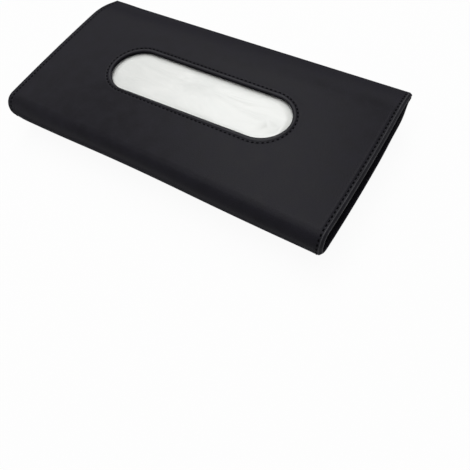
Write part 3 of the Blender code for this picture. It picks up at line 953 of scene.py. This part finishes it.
def makeFrontLeather():
    shape = skinShape
    block, columns, rows = frontGrid(halfLength, shape["hem"], shape["columnStep"], shape["rowStep"],
                                     foldRows(frontTotal, caseTotal - splitAt))
    plan = {"halfWidth": halfLength, "corner": shape["corner"], "cornerSteps": shape["cornerSteps"],
            "rows": rows, "columns": columns}
    surface = newSurface(frontPlace)
    fillFront(surface, block, columns, rows, 0.0)
    wrapEdges(surface, plan, *edgeWrap(shape["rightSlope"]), edgeWrap(shape["leftSlope"])[0])
    made = finishMesh(surface["bm"], "frontLeather", embossedLeather, up=Vector((0, 0, 1)))
    thicken(made, shape["leather"])
    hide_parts("front_skin", "roll_skin")
    flat = flatLeather(columns, rows)
    return made


def makeBackLeather():
    shape = skinShape
    inner = halfLength - shape["hem"]
    columns = spaced(-inner, inner, shape["columnStep"])
    rows = joined(spaced(shape["hem"], backTotal, shape["backRowStep"]), foldRows(backTotal, splitAt))
    plan = {"halfWidth": halfLength, "corner": shape["backCorner"], "cornerSteps": shape["cornerSteps"],
            "rows": rows, "columns": columns}
    surface = newSurface(backPlace)
    fillGrid(surface, columns, rows, 0.0)
    wrapEdges(surface, plan, *edgeWrap(shape["rightSlope"]), edgeWrap(shape["leftSlope"])[0])
    made = finishMesh(surface["bm"], "backLeather", embossedLeather, up=Vector((0, 0, -1)))
    thicken(made, shape["leather"])
    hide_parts("back_skin")
    flatLeather(columns, rows)
    return made


def bendAtBack(made):
    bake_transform(made)


def bendAtFront(made):
    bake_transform(made)


frontLeather = makeFrontLeather()
backLeather = makeBackLeather()
bendAtFront(frontLeather)
bendAtBack(backLeather)
print("leather of the panels is made")


# Lining inside the panels

liningShape = {
    "inset": 5.2 * mm,
    "thickness": 0.25 * mm,
    "columnStep": 4 * mm,
    "rowStep": 3 * mm,
    "foldStep": 1.0 * mm,
    "lie": 0.06 * mm,
    "puckerMm": 16,
    "puckerHeight": 0.10 * mm,
    "frontSeed": 1.3,
    "backSeed": 5.9,
}


def puckered(x, v, seed):
    # cloth that isn't glued flat lies off the turned leather, and lifts a little between its edges
    shape = liningShape
    lift = noise.noise(Vector((x / (shape["puckerMm"] * mm), v / (shape["puckerMm"] * mm), seed)))
    return shape["lie"] + shape["puckerHeight"] * (0.3 - abs(lift))


def makeFrontLining():
    shape = liningShape
    foldLines = spaced(frontTotal, caseTotal - splitAt, shape["foldStep"])
    block, columns, rows = frontGrid(halfLength, shape["inset"], shape["columnStep"], shape["rowStep"],
                                     foldLines)
    surface = newSurface(
        lambda x, v, depth: onCase(x, caseTotal - v, depth + puckered(x, v, shape["frontSeed"])))
    fillFront(surface, block, columns, rows, caseShape["thickness"])
    made = finishMesh(surface["bm"], "frontLining", wovenLining, up=Vector((0, -1, -1)))
    thicken(made, -shape["thickness"])
    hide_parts("front_lining", "roll_lining")
    return made


def makeBackLining():
    shape = liningShape
    inner = halfLength - shape["inset"]
    columns = spaced(-inner, inner, shape["columnStep"])
    rows = joined(spaced(shape["inset"], backTotal, shape["rowStep"]),
                  spaced(backTotal, splitAt, shape["foldStep"]))
    surface = newSurface(lambda x, v, depth: onCase(x, v, depth + puckered(x, v, shape["backSeed"])))
    fillGrid(surface, columns, rows, caseShape["thickness"])
    made = finishMesh(surface["bm"], "backLining", wovenLining, up=Vector((0, 1, 1)))
    thicken(made, -shape["thickness"])
    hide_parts("back_lining")
    return made


frontLining = makeFrontLining()
backLining = makeBackLining()
bendAtFront(frontLining)
bendAtBack(backLining)
print("linings are made")


# Rim round the opening

def rimSection():
    # the turned leather's section: how far outside the opening's edge, how deep and how much painted
    # highlight it gets
    shape = openingShape
    thickness = caseShape["thickness"]
    middle, half = (shape["rimWidth"] - shape["rimLean"]) / 2, (shape["rimWidth"] + shape["rimLean"]) / 2
    low = thickness + shape["rimProud"]
    innerFoot, outerFoot = shape["rimFeet"]
    section = [(shape["rimBase"], low, 0.0), (shape["rimBase"], thickness * innerFoot, 0.0)]
    for k in range(shape["rimSteps"] + 1):
        over = -math.cos(math.pi * k / shape["rimSteps"])
        fall = (shape["rimProud"] + shape["rimSide"]) * abs(over) ** shape["rimArch"]
        # painted highlight along the rim's crest, falling off to its sides
        highlightShare = shape["rimHighlight"] * max(0.0, 1 - (shape["rimHighlightFall"] * over) ** 2)
        section.append((middle + over * half, fall - shape["rimProud"], highlightShare))
    return section + [(shape["rimWidth"], thickness * outerFoot, 0.0), (shape["rimWidth"], low, 0.0)]


def makeRim():
    shape = openingShape
    section = rimSection()
    bm = bmesh.new()
    layer = highlightLayer(bm)
    arcSteps, straightSteps = shape["arcSteps"], shape["straightSteps"]
    loops = []
    for side in (1, -1):
        ends = math.pi * (1 - side) / 2
        places = [(side * openingReach, ends - math.pi / 2 + math.pi * k / arcSteps)
                  for k in range(arcSteps)]
        places += [(side * openingReach * (1 - 2 * k / straightSteps), ends + math.pi / 2)
                   for k in range(straightSteps)]
        for centre, turn in places:
            left, right = shape["nearDraw"]
            draw = left + (right - left) * (centre / openingReach + 1) / 2
            near = max(0.0, -math.sin(turn)) ** shape["nearDrawPower"]
            widening = shape["endWider"] * math.cos(turn) ** 2 - draw * near
            if centre > 0:
                widening -= shape["arcDraw"] * max(0.0, -math.sin(2 * turn))
            loops.append([])
            for offset, depth, highlightShare in section:
                radius = openingRadius + offset + widening * (1 - offset / shape["rimWidth"])
                vertex = bm.verts.new((openingX + centre + radius * math.cos(turn),
                                       openingY + radius * math.sin(turn), topZ - depth))
                vertex[layer] = highlightShare
                loops[-1].append(vertex)
    for first, second in zip(loops, loops[1:] + loops[:1]):
        addTube(bm, first, second)
    made = finishMesh(bm, "openingRim", embossedLeather, 60)
    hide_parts("opening_rim")
    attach(made, "cover")


# Stitches

stitchShape = {
    "pitch": 3.0 * mm,
    "length": 2.35 * mm,
    "thread": 1.0 * mm,
    "rise": 0.2 * mm,
    "sink": 0.4 * mm,
    "bedded": 0.12 * mm,
    # how thin its ends are
    "endShare": 0.55,
    "rings": 7,
    "sides": 8,
    "firstFromLip": 4.2 * mm,
    "clearInside": 0.02 * mm,
}


def addStitch(bm, place, start, end):
    # a bent bead of thread between two plan points, whose ends go down into the leather
    shape = stitchShape
    count, sides = shape["rings"], shape["sides"]
    half, deepest = shape["thread"] / 2, shape["sink"]
    rings = []
    for k in range(count):
        t = k / (count - 1)
        x, v = start[0] + (end[0] - start[0]) * t, start[1] + (end[1] - start[1]) * t
        arch = math.sin(math.pi * t)
        depth = deepest - (deepest + shape["rise"]) * arch ** 0.6 + half - shape["bedded"]
        radius = half * (shape["endShare"] + (1 - shape["endShare"]) * arch ** 0.5)
        centre = place(x, v, depth)
        ahead = place(x + (end[0] - start[0]) * 0.01, v + (end[1] - start[1]) * 0.01, depth)
        above = (place(x, v, depth - shape["thread"]) - centre).normalized()
        side = (ahead - centre).normalized().cross(above).normalized()
        turns = [2 * math.pi * j / sides for j in range(sides)]
        rings.append([bm.verts.new(centre + radius * (math.cos(turn) * side + math.sin(turn) * above))
                      for turn in turns])
    for first, second in zip(rings, rings[1:]):
        addTube(bm, first, second)
    bm.faces.new(rings[0][::-1])
    bm.faces.new(rings[-1])


def insideOf(place, lining=0.0):
    # the same seam seen from the other side of the panel
    inside = caseShape["thickness"] + lining + stitchShape["clearInside"]
    return lambda x, v, depth: place(x, v, inside - depth)


def makeSeam(name, place, stitches, nodes, bend=None):
    bm = bmesh.new()
    for start, end in stitches:
        addStitch(bm, place, start, end)
    made = finishMesh(bm, name, bondedThread, 60)
    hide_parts(*nodes)
    if bend:
        bend(made)
    else:
        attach(made, "cover")


def makeEdgeSeams():
    shape = stitchShape
    panels = [("Front", caseTotal - splitAt, bareFront, bendAtFront, ("front", "roll")),
              ("Back", splitAt, bareBack, bendAtBack, ("back",))]
    for side, sign in (("left", -1), ("right", 1)):
        x = sign * (halfLength - skinShape[f"{side}Seam"])
        for panel, total, place, bend, parts in panels:
            count = int((total - shape["firstFromLip"] - shape["length"]) / shape["pitch"]) + 1
            starts = [shape["firstFromLip"] + k * shape["pitch"] for k in range(count)]
            stitches = [((x, v), (x, v + shape["length"])) for v in starts]
            nodes = [f"{side}_{part}_thread" for part in parts]
            makeSeam(f"{side}{panel}Seam", place, stitches, nodes, bend)
            makeSeam(f"{side}{panel}SeamInside", insideOf(place), stitches, [], bend)


def makeOpeningSeam():
    shape = stitchShape
    radius = openingRadius + skinShape["openingSeam"]
    middle = openingY + openingShape["seamShift"]
    straight = 2 * openingReach
    halfWay = straight + math.pi * radius
    count = round(2 * halfWay / shape["pitch"])

    def planPoint(length):
        # along the far side and round the right end, then back along the near side and round the left
        side = 1 if length % (2 * halfWay) < halfWay else -1
        length %= halfWay
        if length < straight:
            return openingX + side * (length - openingReach), alongFront(middle + side * radius)
        turn = side * math.pi / 2 - (length - straight) / radius
        return (openingX + side * openingReach + radius * math.cos(turn),
                alongFront(middle + radius * math.sin(turn)))

    starts = [2 * halfWay * k / count for k in range(count)]
    stitches = [(planPoint(start), planPoint(start + shape["length"])) for start in starts]
    makeSeam("openingSeam", bareFront, stitches, ["opening_thread"])
    makeSeam("openingSeamInside", insideOf(bareFront, liningShape["thickness"]), stitches, [])


makeRim()
makeEdgeSeams()
makeOpeningSeam()
print("rim and seams are made")


# Narrow pieces laid along a line: straps, patches and bands

def laidAlong(at, middle, lift=0.0):
    # places a piece along a section line, about a middle x
    def place(x, v, depth):
        point, right = at(v)
        spot = point + right * (depth + lift)
        return Vector((middle + x, spot.x, spot.y))

    return place


slabTurnSteps = 6


def edgeProfile(shape):
    # from one face round the edge to the other face
    thickness, edgeRound, inset = shape["thickness"], shape["edgeRound"], shape["inset"]
    turns = [math.pi / 2 * k / slabTurnSteps for k in range(slabTurnSteps + 1)]
    points = [(inset, 0.0), (inset / 2, 0.0)]
    points += [(edgeRound * (1 - math.sin(turn)), edgeRound * (1 - math.cos(turn))) for turn in turns]
    points += [(edgeRound * (1 - math.cos(turn)), thickness - edgeRound * (1 - math.sin(turn)))
               for turn in turns]
    return points + [(inset * share, thickness) for share in (1 / 3, 2 / 3, 1)]


def makeSlab(name, place, halfWidth, length, shape, material):
    columns = spaced(-halfWidth + shape["inset"], halfWidth - shape["inset"], shape["columnStep"])
    rows = spaced(shape["inset"], length - shape["inset"], shape["rowStep"])
    plan = {"halfWidth": halfWidth, "corner": shape["corner"], "farCorner": shape["farCorner"],
            "cornerSteps": slabTurnSteps, "rows": rows, "columns": columns, "length": length}
    surface = newSurface(place)
    fillGrid(surface, columns, rows, 0.0)
    fillGrid(surface, columns, rows, shape["thickness"])
    wrapEdges(surface, plan, edgeProfile(shape))
    return finishMesh(surface["bm"], name, material, 50)


# Visor straps

strapShape = {
    "thickness": 1.4 * mm,
    "bendRadius": 2.2 * mm,
    "footRadius": 1.7 * mm,
    "tabLength": 13 * mm,
    "gap": 0.3 * mm,
    "endBack": 0.3 * mm,
    "riseLength": 16 * mm,
    "riseEase": 8 * mm,
    # corners at the sewn end and at the free end
    "corner": 1 * mm,
    "farCorner": 4 * mm,
    "edgeRound": 0.55 * mm,
    "seamInset": 2.5 * mm,
    "seamLength": 6 * mm,
    # where in a pitch each stitch of the tab starts and ends
    "stitchEnds": (0.12, 0.88),
    "blendHigh": 5.1 * mm,
    "blendLow": 1.9 * mm,
    # how fine the mesh is, and how far in its edge lines start
    "arcSteps": 16,
    "riseSteps": 24,
    "lineStep": 0.35 * mm,
    "columnStep": 2.2 * mm,
    "rowStep": 0.9 * mm,
    "inset": 4.3 * mm,
}

patchShape = {
    "thickness": 1.0 * mm,
    "length": 12 * mm,
    "margin": 1.0 * mm,
    "corner": 1.5 * mm,
    "farCorner": 1.5 * mm,
    "edgeRound": 0.3 * mm,
    "lineStep": 0.4 * mm,
    "columnStep": 1.5 * mm,
    "rowStep": 1.0 * mm,
    "inset": 1.7 * mm,
}

strapJoint = {joint["child"]: joint["pos_m"] for joint in frame["joints"] if joint["type"] == "hinge"}


def underBack(low, high, depth):
    # the back's outside moved out by a depth, between two values of y, running towards +Y
    steps = 400
    places = [caseAt(backTotal * k / steps) for k in range(steps + 1)]
    points = sorted([point - inside * depth for point, inside in places], key=lambda p: p.x)
    return [p for p in points if low <= p.x <= high]


def strapLine(side):
    shape = strapShape
    hingeY, hingeZ = strapJoint[f"{side}_visor_strap"][1:]
    tabZ = baseZ - shape["gap"] - shape["thickness"] / 2
    top = arcPoints(Vector((hingeY + shape["bendRadius"], tabZ - shape["bendRadius"])), shape["bendRadius"],
                    math.pi / 2, math.pi, shape["arcSteps"])
    footRadius = shape["footRadius"]
    foot = arcPoints(Vector((hingeY + footRadius, hingeZ + footRadius)), footRadius,
                     math.pi, 3 * math.pi / 2, shape["arcSteps"])
    depth = 2 * patchShape["thickness"] + 3 * shape["gap"] + shape["thickness"] / 2
    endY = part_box(f"{side}_strap")[1].y - shape["endBack"]
    endPart = underBack(endY - patchShape["length"] - 2 * patchShape["margin"], endY, depth)
    slope = (endPart[1] - endPart[0]).normalized()
    riseStart = Vector((endPart[0].x - shape["riseLength"], hingeZ))
    rise = curveThrough(riseStart, riseStart + Vector((shape["riseEase"], 0)),
                        endPart[0] - slope * shape["riseEase"], endPart[0], shape["riseSteps"])
    line = joinLines([Vector((hingeY + shape["tabLength"], tabZ))], top, foot, rise, endPart[1:])
    return sectionLine(line, shape["lineStep"])


def makeTabSeam(side, half, place):
    # a box of stitches holds the strap's sewn end
    shape = strapShape
    low, high = shape["seamInset"], shape["seamInset"] + shape["seamLength"]
    reach = half - low
    corners = [(-reach, low), (reach, low), (reach, high), (-reach, high)]
    bm = bmesh.new()
    for first, last in zip(corners, corners[1:] + corners[:1]):
        count = max(1, round(math.dist(first, last) / stitchShape["pitch"]))
        for k in range(count):
            ends = [(first[0] + (last[0] - first[0]) * (k + end) / count,
                     first[1] + (last[1] - first[1]) * (k + end) / count) for end in shape["stitchEnds"]]
            addStitch(bm, lambda x, v, depth: place(x, v, shape["thickness"] - depth), *ends)
    seam = finishMesh(bm, f"{side}TabSeam", bondedThread, 60)
    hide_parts(f"{side}_tab_thread")
    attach(seam, "case_back")


def makePatch(side, kind, middle, depth, body):
    low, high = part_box(f"{side}_{kind}_patch")
    at, total = sectionLine(underBack(low.y, high.y, depth), patchShape["lineStep"])
    patch = makeSlab(f"{side}{kind.capitalize()}Patch", laidAlong(at, middle), (high.x - low.x) / 2,
                     total, patchShape, hookTape)
    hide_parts(f"{side}_{kind}_patch")
    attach(patch, body)


def makeStraps():
    shape = strapShape
    for side in ("left", "right"):
        low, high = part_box(f"{side}_strap")
        middle, half = (low.x + high.x) / 2, (high.x - low.x) / 2
        body = f"{side}_visor_strap"
        at, total = strapLine(side)
        place = laidAlong(at, middle, -shape["thickness"] / 2)
        made = makeSlab(f"{side}Strap", place, half, total, shape, embossedLeather)
        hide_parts(f"{side}_strap", f"{side}_strap_tab")
        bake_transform(made)
        makeTabSeam(side, half, place)
        makePatch(side, "loop", middle, shape["gap"], "case_back")
        makePatch(side, "hook", middle, 2 * shape["gap"] + patchShape["thickness"], body)


makeStraps()
print("straps are made")


# Refill and its bands

refillShape = {
    "topPower": 2.5,
    "basePower": 4,
    "spread": 0.95,
    "seamShare": 0.66,
    "taper": 9 * mm,
    "endDraw": 3 * mm,
    "endShare": 0.25,
    "cellsAlong": 96,
    "cellsAcross": 44,
    # the cells lie this much closer together in the middle
    "middleCloser": 0.25,
    "wrinkle": 0.25 * mm,
    "wrinkleMm": 11,
    "wrinkleStretch": 2.4,
    "wrinkleSharp": 3,
    "wrinkleSeed": 2.2,
    "swellTop": 25.9 * mm,
    "swellReach": 9 * mm,
    "swellMore": 0.9 * mm,
    "swellRound": 3 * mm,
    "slack": 0.2 * mm,
    "seamClear": 0.2 * mm,
    "limit": 0.6 * mm,
    "frames": 20,
    "fill": 0.7,
    "layers": 9,
    "layerSteps": 24,
    "stackShare": 0.88,
    "stackStep": 1.2 * mm,
    "stackColumn": 9 * mm,
    "tissue": 0.3 * mm,
}

# thin film in the cloth simulation
filmCloth = {"quality": 6, "mass": 0.05, "stretch": 25, "shear": 12, "bend": 0.02, "pressure": 4,
             "slackShare": 0.02}

wrapLow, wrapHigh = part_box("refill_wrap")
refillY = (wrapLow.y + wrapHigh.y) / 2
refillSeam = wrapLow.z + (wrapHigh.z - wrapLow.z) * refillShape["seamShare"]


def refillHeights(over, base, crown):
    shape = refillShape
    spread = abs(over) * shape["spread"]
    bottom = refillSeam - (refillSeam - base) * (1 - spread ** shape["basePower"])
    top = refillSeam + (crown - refillSeam) * math.sqrt(1 - spread ** shape["topPower"])
    return bottom, top


def swollen(x, y, height):
    # held flat by the panel, the pack swells evenly into the opening
    shape = refillShape
    off = offOpening(x, alongFront(y))
    height += (shape["swellTop"] - height) * smoothShare(1 - off / shape["swellReach"])
    return height + shape["swellMore"] * smoothShare(-off / shape["swellRound"])


def pastTaper(x, halfLong):
    return max(0.0, (abs(x) - (halfLong - refillShape["taper"])) / refillShape["taper"])


def pillowMesh(halfLong, halfWide, base, crown):
    shape = refillShape
    bm = bmesh.new()
    bmesh.ops.create_grid(bm, x_segments=shape["cellsAlong"], y_segments=shape["cellsAcross"], size=1.0)
    raised = bmesh.ops.extrude_face_region(bm, geom=bm.faces[:])["geom"]
    upper = {item for item in raised if isinstance(item, bmesh.types.BMVert)}
    across, along = shape["wrinkleMm"] * mm, shape["wrinkleMm"] * shape["wrinkleStretch"] * mm
    for vertex in bm.verts:
        over = math.sin(vertex.co.y * math.pi / 2)
        x = vertex.co.x * (1 - shape["middleCloser"] * (1 - abs(vertex.co.x)) ** 2) * halfLong
        past = pastTaper(x, halfLong)
        bottom, top = refillHeights(over, base, crown)
        thin = 1 - (1 - shape["endShare"]) * past ** 2
        height = refillSeam + ((top if vertex in upper else bottom) - refillSeam) * thin
        if vertex in upper:
            height = swollen(x, refillY + over * halfWide, height)
            wave = noise.noise(Vector((x / along, over * halfWide / across, shape["wrinkleSeed"])))
            ridge = 1 - abs(wave) * shape["wrinkleSharp"]
            height += shape["wrinkle"] * (ridge - 1) * (1 - over ** 2) * (1 - past)
        vertex.co = (x, refillY + over * (halfWide - shape["endDraw"] * past ** 2), height)
    bmesh.ops.recalc_face_normals(bm, faces=bm.faces)
    return bm


def pressOut(made, limit, floorAt, roofAt):
    # cloth filled with a little air: the film slackens into folds, and no point strays far
    rest = [vertex.co.copy() for vertex in made.data.vertices]
    cloth = made.modifiers.new("film", "CLOTH")
    settings = cloth.settings
    settings.quality = filmCloth["quality"]
    settings.mass = filmCloth["mass"]
    settings.tension_stiffness = settings.compression_stiffness = filmCloth["stretch"]
    settings.shear_stiffness = filmCloth["shear"]
    settings.bending_stiffness = filmCloth["bend"]
    settings.shrink_min = settings.shrink_max = -filmCloth["slackShare"]
    settings.use_pressure = True
    settings.uniform_pressure_force = filmCloth["pressure"]
    settings.effector_weights.gravity = 0
    scene = bpy.context.scene
    for number in range(1, refillShape["frames"] + 1):
        scene.frame_set(number)
    applied(made)
    scene.frame_set(1)
    for vertex, place in zip(made.data.vertices, rest):
        move = vertex.co - place
        if move.length > limit:
            move *= limit / move.length
        spot = place + move
        spot.z = min(max(spot.z, floorAt(place)), roofAt(place))
        vertex.co = spot


def makeWrap():
    shape = refillShape
    halfLong, halfWide = (wrapHigh.x - wrapLow.x) / 2, (wrapHigh.y - wrapLow.y) / 2
    bm = pillowMesh(halfLong - shape["slack"], halfWide - shape["slack"], wrapLow.z + shape["slack"],
                    wrapHigh.z - shape["slack"])
    film = finishMesh(bm, "refillFilm", blownFilm, 50)

    def heightsAt(place):
        past = pastTaper(place.x, halfLong)
        over = min(max((place.y - refillY) / (halfWide - shape["endDraw"] * past ** 2), -1), 1)
        bottom, top = refillHeights(over, wrapLow.z, wrapHigh.z)
        return bottom, swollen(place.x, place.y, top)

    pressOut(film, shape["limit"], lambda place: heightsAt(place)[0],
             lambda place: max(heightsAt(place)[1], refillSeam + shape["seamClear"]))
    smoother = film.modifiers.new("smoother", "SUBSURF")
    smoother.levels = smoother.render_levels = 1
    applied(film)
    film.data.shade_smooth()
    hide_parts("refill_wrap")
    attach(film, "refill")


def makeStack():
    # one long web of tissue, folded to and fro
    shape = refillShape
    stackLow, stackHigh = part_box("tissue_stack")
    halfWide = (stackHigh.y - stackLow.y) / 2
    middle = (stackHigh.y + stackLow.y) / 2
    line = []
    for layer in range(shape["layers"]):
        share = (layer + 0.5) / shape["layers"]
        for k in range(shape["layerSteps"] + 1):
            over = shape["stackShare"] * (2 * k / shape["layerSteps"] - 1) * (1 if layer % 2 else -1)
            bottom, top = refillHeights(over, stackLow.z, stackHigh.z)
            line.append(Vector((middle + over * halfWide, bottom + (top - bottom) * share)))
    at, total = sectionLine(line, shape["stackStep"])
    bm = bmesh.new()
    columns = spaced(stackLow.x, stackHigh.x, shape["stackColumn"])
    lines = []
    for v in spaced(0, total, shape["stackStep"]):
        point = at(v)[0]
        lines.append([bm.verts.new((x, point.x, point.y)) for x in columns])
    for first, second in zip(lines, lines[1:]):
        addStrip({"bm": bm}, first, second)
    stack = finishMesh(bm, "tissueStack", crepedTissue, 60)
    shell = stack.modifiers.new("thickness", "SOLIDIFY")
    shell.thickness = shape["tissue"]
    shell.offset = 0
    applied(stack)
    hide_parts("tissue_stack")
    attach(stack, "refill")


bandShape = {
    "thickness": 0.6 * mm,
    "gap": 0.3 * mm,
    "foot": 9 * mm,
    "corner": 0.3 * mm,
    "farCorner": 0.3 * mm,
    "edgeRound": 0.25 * mm,
    # unstretched, the elastic is a little wider and shorter
    "slackWidth": 1.03,
    "slackLength": 0.92,
    "overSteps": 48,
    "lineStep": 0.6 * mm,
    "columnStep": 1.2 * mm,
    "rowStep": 0.8 * mm,
    "inset": 1.0 * mm,
}


def makeBands():
    shape = bandShape
    halfWide = (wrapHigh.y - wrapLow.y) / 2
    overTop, under = [], []
    for k in range(shape["overSteps"] + 1):
        over = -math.cos(math.pi * k / shape["overSteps"])
        bottom, top = refillHeights(over, wrapLow.z, wrapHigh.z)
        overTop.append(Vector((refillY + over * halfWide, top)))
        under.append(Vector((refillY + over * halfWide, bottom)))
    nearFoot = [p for p in under if p.x <= under[0].x + shape["foot"]][::-1]
    farFoot = [p for p in under if p.x >= under[-1].x - shape["foot"]][::-1]
    at, total = sectionLine(joinLines(nearFoot, overTop, farFoot), shape["lineStep"])
    for side in ("left", "right"):
        low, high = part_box(f"{side}_band")
        middle, half = (low.x + high.x) / 2, (high.x - low.x) / 2
        place = laidAlong(at, middle, -(shape["gap"] + shape["thickness"]))
        band = makeSlab(f"{side}Band", place, half, total, shape, knittedElastic)
        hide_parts(f"{side}_band")
        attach(band, "case_back")


makeWrap()
makeStack()
makeBands()
print("refill and bands are made")


# Boards and magnets keep their solids

for name in ("back_board", "front_board", "left_back_magnet", "right_back_magnet",
             "left_front_magnet", "right_front_magnet"):
    mesh = frame["nodes"][name].data
    mesh.materials.clear()
    mesh.materials.append(greyBoard if name.endswith("board") else platedSteel)
print("boards and magnets have their materials")
